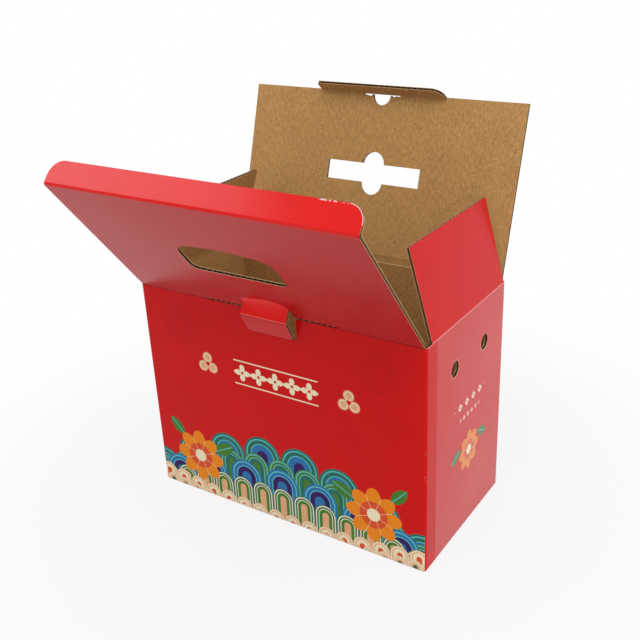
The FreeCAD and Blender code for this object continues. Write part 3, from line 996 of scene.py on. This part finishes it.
def rim_points(name):
    """The rim of one wall from its left to its right end, with the tab's opening in the front."""
    board = bpy.context.scene.carry_board
    cuts = bpy.context.scene.carry_cuts
    inner = WIDTH / 2 - board.thickness
    if name == "back":
        return [(-inner, HEIGHT, 0.0), (inner, HEIGHT, 0.0)]
    if name in ("left", "right"):
        low, high = side_crease(name)
        return [(low, HEIGHT, 0.0), (high, HEIGHT, 0.0)]
    slit_left, slit_right = slit_ends()
    left, right = tab_ends()
    foot = HEIGHT - (cuts.tab_upper + cuts.tab_lower - TAB_ROOT + cuts.tab_clearance)
    return [
        (-inner, HEIGHT, 0.0), (slit_left, HEIGHT, 0.0), (left, HEIGHT, 0.0), (left, foot, 0.0),
        (right, foot, 0.0), (right, HEIGHT, 0.0), (slit_right, HEIGHT, 0.0), (inner, HEIGHT, 0.0)]


def rim_creases(name, shift=0.0):
    """The rim's stretches that end at a crease."""
    inner = WIDTH / 2 - bpy.context.scene.carry_board.thickness
    if name == "back":
        stretches = [(-inner, inner)]
    elif name == "front":
        slit_left, slit_right = slit_ends()
        stretches = [(-inner, slit_left), (slit_right, inner)]
    else:
        stretches = [side_crease(name)]
    return [Crease(HEIGHT, low + shift, high + shift, -1) for low, high in stretches]


def add_vents(flat, name, shift=0.0):
    cuts = bpy.context.scene.carry_cuts
    if name not in ("left", "right"):
        return
    side = 1 if name == "right" else -1
    for index in range(2):
        place = side * (cuts.vent_front + index * cuts.vent_pitch - DEPTH / 2)
        add_round(flat, place + shift, HEIGHT - cuts.vent_drop, cuts.vent_radius)


def make_walls():
    """The printed liner is one sheet round all four walls; flutes and kraft liner stand in each wall."""
    board = bpy.context.scene.carry_board
    walls = box_walls()
    total = 2 * (WIDTH + DEPTH)
    fold = board.fold

    def draw_wrap(flat):
        rim = [(0.0, HEIGHT, 0.0)]
        for name, wall in walls.items():
            rim += [(x + wall.middle(), y, radius) for x, y, radius in rim_points(name)]
        rim += [(total, HEIGHT, 0.0)]
        add_loop(flat, [(0.0, -fold, 0.0), (total, -fold, 0.0)] + rim[::-1])
        for name, wall in walls.items():
            add_vents(flat, name, wall.middle())

    cuts_x = []
    for wall in walls.values():
        for side in (-1, 1):
            corner = wall.start if side > 0 else wall.start + wall.span
            cuts_x += [corner + side * fold * step for step in (0.0, 0.25, 0.5, 0.75, 1.0, PAST_FOLD)]
    cuts_x = sorted({round(place, 7) for place in cuts_x if 0.0 < place < total})
    cuts_y = steps(-fold, fold, 8)[1:] + [fold * PAST_FOLD]
    creases = [crease for name, wall in walls.items() for crease in rim_creases(name, wall.middle())]
    meshes = [sheet(draw_wrap, wrapped, "outer", creases, cuts_x, cuts_y)]

    for name, wall in walls.items():
        half = wall.span / 2

        def draw_wall(flat, name=name, edge=half - fold):
            rim = [(max(-edge, min(edge, x)), y, radius) for x, y, radius in rim_points(name)]
            ends = [(-edge, HEIGHT, 0.0)] if rim[0][0] > -edge else []
            tail = [(edge, HEIGHT, 0.0)] if rim[-1][0] < edge else []
            loop = [(-edge, fold, 0.0), (edge, fold, 0.0)] + (ends + rim + tail)[::-1]
            add_loop(flat, loop)
            add_vents(flat, name)

        for kind in ("flutes", "inner"):
            meshes.append(sheet(draw_wall, wall.plane(), kind, rim_creases(name)))
    walls_piece = finish_piece("box_walls", meshes, "printed_box", "box_body")
    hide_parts("box_body")


def make_bottom():
    """One full outer board, two inner flaps on it, and the glue lap inside the right wall."""
    board = bpy.context.scene.carry_board
    inner_x = WIDTH / 2 - board.thickness
    inner_y = DEPTH / 2 - board.thickness
    gap = (WIDTH - DEPTH) / 2

    def draw_floor(flat):
        add_loop(flat, rectangle(-inner_x, inner_x, -inner_y, inner_y))

    floor = Plane((0, 0, 0), (1, 0, 0), (0, 1, 0), (0, 0, 1))
    finish_piece("base_board", layers(draw_floor, floor), "printed_box", "box_body")
    raised = Plane((0, 0, board.thickness), (1, 0, 0), (0, 1, 0), (0, 0, 1))
    for name, low, high in (("left", -inner_x, -gap), ("right", gap, inner_x)):

        def draw_flap(flat, low=low, high=high):
            add_loop(flat, rectangle(low, high, -inner_y, inner_y))

        finish_piece(f"{name}_base_flap", layers(draw_flap, raised), "printed_box", "box_body")

    low = 2 * board.thickness
    high = HEIGHT - board.thickness - board.groove
    rear = board.lap_width - inner_y

    def draw_lap(flat):
        add_loop(flat, [
            (-inner_y, low, 0.0), (rear, low + board.lap_taper, 0.0),
            (rear, high - board.lap_taper, 0.0), (-inner_y, high, 0.0)])

    inside = Plane((inner_x, 0, 0), (0, 1, 0), (0, 0, 1), (-1, 0, 0))
    finish_piece("glue_lap", layers(draw_lap, inside), "printed_box", "box_body")


def rectangle(left, right, low, high, right_round=0.0, left_round=None):
    """A board's outline; its two far corners may be rounded, alike unless the left one is given."""
    if left_round is None:
        left_round = right_round
    return [(left, low, 0.0), (right, low, 0.0), (right, high, right_round), (left, high, left_round)]


# Folds between boards


def make_fold(name, hinge, low_plane, high_plane, spans, ink, round_fold=0.0):
    """Bridge a crease: kraft across the inner groove and, on a rounded fold, print round the outside."""
    board = bpy.context.scene.carry_board
    seat = board.thickness - board.liner
    start = low_plane.inward * seat - low_plane.up * board.groove
    end = high_plane.inward * seat + high_plane.up * board.groove
    meshes = []
    for left, right in spans:
        meshes.append(strip(hinge, low_plane.across, [start, end], left, right, KRAFT, board.liner))
        if round_fold:
            meshes.append(round_strip(hinge, low_plane, high_plane, left, right, round_fold))
    return finish_piece(name, meshes, ink, None)


def strip(hinge, across, profile, left, right, paper, depth):
    """A thin band along a crease, drawn as a profile and swept from left to right."""
    band = bmesh.new()
    verts = [band.verts.new(hinge + across * left + point) for point in profile]
    edges = [band.edges.new(pair) for pair in zip(verts, verts[1:])]
    swept = bmesh.ops.extrude_edge_only(band, edges=edges)
    moved = [item for item in swept["geom"] if isinstance(item, bmesh.types.BMVert)]
    bmesh.ops.translate(band, verts=moved, vec=across * (right - left))
    bmesh.ops.recalc_face_normals(band, faces=band.faces[:])
    uv = band.loops.layers.uv.new("board")
    for face in band.faces:
        face.material_index = paper
        for loop in face.loops:
            offset = loop.vert.co - hinge
            loop[uv].uv = (offset.dot(across), min(FOLD_BAND, offset.length))
    bmesh.ops.solidify(band, geom=band.faces[:], thickness=depth)
    bmesh.ops.recalc_face_normals(band, faces=band.faces[:])
    return band


def round_strip(hinge, low_plane, high_plane, left, right, radius):
    """The printed liner's arc round the outside of a fold."""
    turn = low_plane.up.angle(high_plane.up)
    trim = radius * math.tan(turn / 2)
    centre = low_plane.inward * radius - low_plane.up * trim
    first = -low_plane.inward
    profile = []
    for step in steps(0.0, 1.0, 8):
        at = turn * step
        profile.append(centre + (first * math.cos(at) + low_plane.up * math.sin(at)) * radius)
    board = bpy.context.scene.carry_board
    return strip(hinge, low_plane.across, profile, left, right, INK, board.liner)


def fold_trim(turn):
    return bpy.context.scene.carry_board.fold * math.tan(turn / 2)


# Front lid, its strip and the lock tab


def front_planes():
    cuts = bpy.context.scene.carry_cuts
    lid = Plane.leaning(CREASES["front_lid_crease"], FRONT_LEAN, -1)
    tuck = Plane.leaning(CREASES["front_tuck_crease"], FRONT_LEAN - cuts.tuck_fold, -1)
    return lid, tuck


# The cut that frees the tab from the lid on both sides of its bend
SEAT_GAP = 0.2 * MM

# How far above its root the tab's bend starts on the lid, in millimetres, at shares of the tab's width
BULGE = ((0.0, 4.4), (0.14, 7.6), (0.35, 10.6), (0.6, 12.0), (0.8, 11.2), (0.92, 8.2), (1.0, 1.6))


def bulge_at(share):
    """Height of the tab's arched bend above its root line, at a share of its width."""
    for (low, first), (high, second) in zip(BULGE, BULGE[1:]):
        if share <= high:
            return (first + (second - first) * (share - low) / (high - low)) * MM
    return BULGE[-1][1] * MM


def make_front_lid():
    cuts = bpy.context.scene.carry_cuts
    half = WIDTH / 2 - cuts.front_inset
    lid, _ = front_planes()
    slit_left, slit_right = slit_ends()
    left = cuts.tab_centre - cuts.tab_width / 2 - SEAT_GAP
    right = cuts.tab_centre + cuts.tab_width / 2 + SEAT_GAP

    def draw(flat):
        arch = [
            (left + (right - left) * share, TAB_ROOT + bulge_at(share), 0.0) for share in steps(0.0, 1.0, 14)]
        add_loop(flat, [
            (-half, 0.0, 0.0), (slit_left, 0.0, 0.0), (slit_left, cuts.slit_gap, 0.0),
            (left, cuts.slit_gap, 0.0)] + arch + [
            (right, cuts.slit_gap, 0.0), (slit_right, cuts.slit_gap, 0.0), (slit_right, 0.0, 0.0),
            (half, 0.0, 0.0), (half, FRONT_LENGTH, 0.0), (-half, FRONT_LENGTH, 0.0)])
        hole = cuts.hole_width / 2
        outline = [
            (hole, cuts.hole_near, cuts.hole_near_round),
            (-hole, cuts.hole_near, cuts.hole_near_round)] + crowned_edge(hole)
        add_loop(flat, [(x + cuts.hole_centre, y, radius) for x, y, radius in outline])

    creases = [
        Crease(0.0, -half, slit_left, 1),
        Crease(0.0, slit_right, half, 1),
        Crease(FRONT_LENGTH, -half, half, -1, fold_trim(cuts.tuck_fold)),
    ]
    piece = finish_piece("front_lid_board", layers(draw, lid, creases), "printed_lid", "front_lid")
    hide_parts("front_lid")
    wall = box_walls()["front"].plane()
    spans = [(-half, slit_left), (slit_right, half)]
    make_fold(
        "front_lid_fold", CREASES["front_lid_crease"], wall, lid, spans,
        "printed_lid")


def make_front_tuck():
    cuts = bpy.context.scene.carry_cuts
    half = WIDTH / 2 - cuts.front_inset
    lid, tuck = front_planes()

    def draw(flat):
        add_loop(flat, rectangle(-half, half, 0.0, cuts.tuck_height, cuts.tuck_round))

    creases = [Crease(0.0, -half, half, 1, fold_trim(cuts.tuck_fold))]
    piece = finish_piece("front_tuck_board", layers(draw, tuck, creases), "printed_strip", "front_tuck_flap")
    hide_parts("front_tuck_flap")
    make_fold(
        "front_tuck_fold", CREASES["front_tuck_crease"], lid, tuck,
        [(-half, half)], "printed_strip", bpy.context.scene.carry_board.fold)


def make_lock_tab():
    """The tab swells out of the lid along an arched bend and turns once more at its knee."""
    board = bpy.context.scene.carry_board
    cuts = bpy.context.scene.carry_cuts
    half = cuts.tab_width / 2
    lid, _ = front_planes()
    root = CREASES["lock_tab_crease"]
    out = cuts.tab_fold - FRONT_LEAN
    down = Vector((0.0, -math.sin(out), -math.cos(out)))
    inward = Vector((0.0, math.cos(out), -math.sin(out)))
    back = out - cuts.tab_knee
    low_down = Vector((0.0, -math.sin(back), -math.cos(back)))
    low_inward = Vector((0.0, math.cos(back), -math.sin(back)))
    full = cuts.tab_upper + cuts.tab_lower
    knee_trim = fold_trim(cuts.tab_knee)
    knee_start = cuts.tab_upper - knee_trim
    knee_end = cuts.tab_upper + knee_trim
    root_reach = board.thickness * 4
    side = Vector((1.0, 0.0, 0.0))

    def bent(flat):
        share = (flat.x + half) / cuts.tab_width
        swell = bulge_at(share)
        base = root + side * (flat.x + cuts.tab_centre)
        y = flat.y
        if y < 0.0:
            y = swell * (1.0 + 2 * y / root_reach)
        elif y < root_reach:
            y = swell + (knee_start - swell) * y / root_reach
        if y < swell:
            radius = swell / math.tan(cuts.tab_fold / 2)
            centre = base + lid.up * swell - lid.inward * radius
            turn = cuts.tab_fold * (y + swell) / (2 * swell)
            ray = lid.inward * math.cos(turn) - lid.up * math.sin(turn)
            return centre + ray * (radius + flat.z)
        if y < knee_start:
            return base + down * y + inward * flat.z
        if y > knee_end:
            knee = base + down * cuts.tab_upper
            return knee + low_down * (y - cuts.tab_upper) + low_inward * flat.z
        centre = base + down * knee_start + inward * board.fold
        turn = cuts.tab_knee * (y - knee_start) / (2 * knee_trim)
        ray = down * math.sin(turn) - inward * math.cos(turn)
        return centre + ray * (board.fold - flat.z)

    def draw(flat):
        add_loop(flat, rectangle(-half, half, -root_reach, full, cuts.tab_round))

    cuts_y = steps(-root_reach, 0.0, 12)[1:] + steps(0.0, root_reach, 4)[1:]
    cuts_y += steps(knee_start, knee_end, 8)
    cuts_x = steps(-half, half, 24)[1:-1]
    meshes = [sheet(draw, bent, kind, (), cuts_x, sorted(cuts_y)) for kind in ("outer", "flutes", "inner")]
    piece = finish_piece("lock_tab_board", meshes, "printed_tab", None)
    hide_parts("lock_tab")


# Back lid and its small flap


def back_planes():
    cuts = bpy.context.scene.carry_cuts
    lid = Plane.leaning(CREASES["back_lid_crease"], BACK_LEAN, 1)
    tuck = Plane.leaning(CREASES["back_tuck_crease"], BACK_LEAN + cuts.back_tuck_fold, 1)
    return lid, tuck


# Ragged shoulders of the notch, in millimetres: from its middle, and up from the slot's lower edge
TORN_RIGHT = ((17.0, 0.2), (14.0, -0.6), (12.4, -1.3), (11.4, -0.2), (10.8, 0.8))
TORN_LEFT = ((-10.7, 0.8), (-11.8, 0.1), (-13.5, -1.5), (-16.5, -0.6), (-19.5, 0.1))


def make_back_lid():
    board = bpy.context.scene.carry_board
    cuts = bpy.context.scene.carry_cuts
    half = WIDTH / 2 - cuts.back_inset
    lid, _ = back_planes()
    top = BACK_CREASE + cuts.back_setback
    seat = cuts.back_tuck_width / 2 + board.groove - board.thickness
    notch = cuts.notch_width / 2
    slot = BACK_CREASE - cuts.notch_slot

    def half_round(centre, radius, side, count=14):
        """Points of a half round that bulges up or down from a level, left to right."""
        return [
            (-radius * math.cos(math.pi * step), centre + side * radius * math.sin(math.pi * step), 0.0)
            for step in steps(0.0, 1.0, count)]

    def ragged(points):
        return [(across * MM, slot + up * MM, 0.0) for across, up in points]

    def draw(flat):
        bite = ragged(TORN_RIGHT) + half_round(slot, cuts.notch_radius, -1)[::-1] + ragged(TORN_LEFT)
        add_loop(flat, [
            (-half, 0.0, 0.0), (half, 0.0, 0.0), (half, top, 0.0), (seat, top, 0.0), (seat, BACK_CREASE, 0.0),
            (notch, BACK_CREASE, 0.0), (notch, slot, 0.0)] + bite + [
            (-notch, slot, 0.0), (-notch, BACK_CREASE, 0.0), (-seat, BACK_CREASE, 0.0),
            (-seat, top, 0.0), (-half, top, 0.0)])
        wide = cuts.window_width / 2
        near = cuts.window_near
        far = near + cuts.window_height
        low = half_round(near, cuts.thumb_radius, -1)
        high = half_round(far, cuts.thumb_radius, 1)
        add_loop(flat, [(-wide, near, 0.0)] + low + [(wide, near, 0.0), (wide, far, 0.0)] + high[::-1] + [
            (-wide, far, 0.0)])

    trim = fold_trim(cuts.back_tuck_fold)
    creases = [
        Crease(0.0, -half, half, 1),
        Crease(BACK_CREASE, -seat, -notch, -1, trim),
        Crease(BACK_CREASE, notch, seat, -1, trim),
    ]
    piece = finish_piece("back_lid_board", layers(draw, lid, creases), "printed_lid", "back_lid")
    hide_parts("back_lid")
    wall = Plane((0, DEPTH / 2, 0), (1, 0, 0), (0, 0, 1), (0, -1, 0))
    make_fold(
        "back_lid_fold", CREASES["back_lid_crease"], wall, lid, [(-half, half)],
        "printed_lid")


def make_back_tuck():
    cuts = bpy.context.scene.carry_cuts
    half = cuts.back_tuck_width / 2
    notch = cuts.notch_width / 2
    lid, tuck = back_planes()

    def draw(flat):
        add_loop(flat, rectangle(
            -half, half, 0.0, cuts.back_tuck_height, cuts.back_tuck_right, cuts.back_tuck_left))

    creases = [Crease(0.0, -half, half, 1, fold_trim(cuts.back_tuck_fold))]
    piece = finish_piece("back_tuck_board", layers(draw, tuck, creases), "printed_strip", "back_tuck_flap")
    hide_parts("back_tuck_flap")
    make_fold(
        "back_tuck_fold", CREASES["back_tuck_crease"], lid, tuck,
        [(-half, -notch), (notch, half)], "printed_strip", bpy.context.scene.carry_board.fold)


# Side flaps


def make_side_flap(name, side, lean):
    cuts = bpy.context.scene.carry_cuts
    low = cuts.side_front - DEPTH / 2
    high = DEPTH / 2 - cuts.side_rear
    hinge = CREASES[f"{name}_side_crease"]
    up = (-side * math.sin(lean), 0.0, math.cos(lean))
    inward = (-side * math.cos(lean), 0.0, -math.sin(lean))
    flap = Plane(hinge, (0, 1, 0), up, inward)
    wall = Plane(hinge, (0, 1, 0), (0, 0, 1), (-side, 0, 0))

    def draw(flat):
        add_loop(flat, rectangle(low, high, 0.0, cuts.side_length))

    meshes = layers(draw, flap, [Crease(0.0, low, high, 1)])
    piece = finish_piece(f"{name}_flap_board", meshes, "printed_side_flap", f"{name}_side_flap")
    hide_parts(f"{name}_side_flap")
    make_fold(
        f"{name}_flap_fold", hinge, wall, flap, [(low, high)],
        "printed_side_flap")


# Studio

CAMERA_PLACE = (0.47507, -0.70821, 0.58518)
CAMERA_AZIMUTH = 33.946
CAMERA_ELEVATION = 24.429
CAMERA_ROLL = -2.677
CAMERA_LENS = 51.111
CAMERA_SENSOR = 36.0
FLOOR_RADIUS = 6.0
FLOOR_DROP = 0.1 * MM
FLOOR_LIFT = 0.84
SHADOW_NEAR = 0.25
SHADOW_FAR = 0.60
SKY_LIGHT = 0.72
LAMP_TARGET = (0.0, 0.0, 0.2)

# Each lamp: name, place, size in metres and power in watts
LAMPS = (
    ("key_light", (0.5, -0.9, 2.3), 1.2, 15.0),
    ("left_light", (-1.6, -0.95, 1.7), 0.7, 5.0),
    ("right_light", (1.8, 0.0, 1.2), 1.2, 8.0),
)


def make_camera():
    azimuth = math.radians(CAMERA_AZIMUTH)
    elevation = math.radians(CAMERA_ELEVATION)
    back = Vector((
        math.sin(azimuth) * math.cos(elevation),
        -math.cos(azimuth) * math.cos(elevation),
        math.sin(elevation)))
    right = (-back).cross(Vector((0.0, 0.0, 1.0))).normalized()
    up = right.cross(-back)
    turn = Matrix((right, up, back)).transposed().to_4x4()
    turn = turn @ Matrix.Rotation(math.radians(CAMERA_ROLL), 4, "Z")
    data = bpy.data.cameras.new("photo_camera")
    data.lens = CAMERA_LENS
    data.sensor_width = CAMERA_SENSOR
    camera = bpy.data.objects.new("photo_camera", data)
    camera.matrix_world = Matrix.Translation(CAMERA_PLACE) @ turn
    bpy.context.scene.collection.objects.link(camera)
    bpy.context.scene.camera = camera


def make_lamp(name, place, size, power):
    data = bpy.data.lights.new(name, "AREA")
    data.shape = "SQUARE"
    data.size = size
    data.energy = power
    lamp = bpy.data.objects.new(name, data)
    aim = (Vector(LAMP_TARGET) - Vector(place)).to_track_quat("-Z", "Y").to_matrix().to_4x4()
    lamp.matrix_world = Matrix.Translation(place) @ aim
    bpy.context.scene.collection.objects.link(lamp)


def make_floor():
    """A wide pale floor that looks white to the camera but keeps the box's shadow."""
    bed = bmesh.new()
    bmesh.ops.create_circle(bed, cap_ends=True, radius=FLOOR_RADIUS, segments=64)
    data = bpy.data.meshes.new("floor")
    bed.to_mesh(data)
    bed.free()
    floor = bpy.data.objects.new("floor", data)
    floor.location.z = -FLOOR_DROP
    bpy.context.scene.collection.objects.link(floor)
    paint = Paint("studio_floor")
    path = paint.node("ShaderNodeLightPath")
    seen = paint.most(
        Field(paint, path.outputs["Is Camera Ray"]), Field(paint, path.outputs["Is Glossy Ray"]))
    seen = paint.most(seen, Field(paint, path.outputs["Is Transmission Ray"]))
    x, y, _ = paint.axes(paint.object_place())
    far = paint.rise(disc(paint, x, y, 0.0, 0.0), SHADOW_NEAR / MM, SHADOW_FAR / MM)
    lift = far * (1.0 - FLOOR_LIFT) + FLOOR_LIFT
    matt = paint.node("ShaderNodeBsdfDiffuse", None, {"Color": inks().floor})
    glow = paint.node("ShaderNodeEmission", None, {"Color": (1.0, 1.0, 1.0), "Strength": 1.0})
    both = paint.node("ShaderNodeMixShader", None, {0: seen * lift, 1: matt.outputs[0], 2: glow.outputs[0]})
    paint.node("ShaderNodeOutputMaterial", None, {"Surface": both.outputs[0]})
    data.materials.append(paint.material)


def make_sky():
    """Even white light all round, brighter only where the camera sees it."""
    world = bpy.data.worlds.new("studio")
    world.use_nodes = True
    tree = world.node_tree
    tree.nodes.clear()
    path = tree.nodes.new("ShaderNodeLightPath")
    mix = tree.nodes.new("ShaderNodeMixShader")
    out = tree.nodes.new("ShaderNodeOutputWorld")
    tree.links.new(path.outputs["Is Camera Ray"], mix.inputs[0])
    for index, strength in ((1, SKY_LIGHT), (2, 1.0)):
        glow = tree.nodes.new("ShaderNodeBackground")
        glow.inputs["Color"].default_value = (1.0, 1.0, 1.0, 1.0)
        glow.inputs["Strength"].default_value = strength
        tree.links.new(glow.outputs[0], mix.inputs[index])
    tree.links.new(mix.outputs[0], out.inputs["Surface"])
    bpy.context.scene.world = world


# Operators and panel


class CARRYBOX_OT_walls(bpy.types.Operator):
    """Make the four walls of the box in corrugated board."""

    bl_idname = "carrybox.walls"
    bl_label = "Box walls"

    def execute(self, context):
        make_walls()
        return {"FINISHED"}


class CARRYBOX_OT_bottom(bpy.types.Operator):
    """Make the bottom boards and the glue lap."""

    bl_idname = "carrybox.bottom"
    bl_label = "Bottom and glue lap"

    def execute(self, context):
        make_bottom()
        return {"FINISHED"}


class CARRYBOX_OT_front_lid(bpy.types.Operator):
    """Make the front lid and the strip along its far edge."""

    bl_idname = "carrybox.front_lid"
    bl_label = "Front lid"

    def execute(self, context):
        make_front_lid()
        make_front_tuck()
        return {"FINISHED"}


class CARRYBOX_OT_lock_tab(bpy.types.Operator):
    """Make the lock tab with its arched bend."""

    bl_idname = "carrybox.lock_tab"
    bl_label = "Lock tab"

    def execute(self, context):
        make_lock_tab()
        return {"FINISHED"}


class CARRYBOX_OT_back_lid(bpy.types.Operator):
    """Make the back lid and its small flap."""

    bl_idname = "carrybox.back_lid"
    bl_label = "Back lid"

    def execute(self, context):
        make_back_lid()
        make_back_tuck()
        return {"FINISHED"}


class CARRYBOX_OT_side_flaps(bpy.types.Operator):
    """Make the two side flaps."""

    bl_idname = "carrybox.side_flaps"
    bl_label = "Side flaps"

    def execute(self, context):
        cuts = context.scene.carry_cuts
        make_side_flap("right", 1, cuts.right_lean)
        make_side_flap("left", -1, cuts.left_lean)
        return {"FINISHED"}


class CARRYBOX_OT_stage(bpy.types.Operator):
    """Make the floor, the light and the camera."""

    bl_idname = "carrybox.stage"
    bl_label = "Studio"

    def execute(self, context):
        context.scene.view_settings.view_transform = "Standard"
        make_floor()
        make_sky()
        for lamp in LAMPS:
            make_lamp(*lamp)
        make_camera()
        return {"FINISHED"}


class CARRYBOX_PT_panel(bpy.types.Panel):
    """Lists the box's makers in the sidebar."""

    bl_idname = "CARRYBOX_PT_panel"
    bl_label = "Carry box"
    bl_space_type = "VIEW_3D"
    bl_region_type = "UI"
    bl_category = "Carry box"

    def draw(self, context):
        for operator in OPERATORS:
            self.layout.operator(operator.bl_idname)
        for group in GROUPS:
            box = self.layout.box()
            settings = getattr(context.scene, group)
            for name in settings.bl_rna.properties.keys():
                if name not in ("rna_type", "name"):
                    box.prop(settings, name)


OPERATORS = (
    CARRYBOX_OT_stage,
    CARRYBOX_OT_walls,
    CARRYBOX_OT_bottom,
    CARRYBOX_OT_front_lid,
    CARRYBOX_OT_lock_tab,
    CARRYBOX_OT_back_lid,
    CARRYBOX_OT_side_flaps,
)
CLASSES = (*GROUPS.values(), *OPERATORS, CARRYBOX_PT_panel)


def register():
    for item in CLASSES:
        bpy.utils.register_class(item)
    for name, group in GROUPS.items():
        setattr(bpy.types.Scene, name, PointerProperty(type=group))


def unregister():
    for name in GROUPS:
        delattr(bpy.types.Scene, name)
    for item in reversed(CLASSES):
        bpy.utils.unregister_class(item)


def main():
    register()
    for operator in OPERATORS:
        group, name = operator.bl_idname.split(".")
        getattr(getattr(bpy.ops, group), name)()


if __name__ == "__main__":
    main()
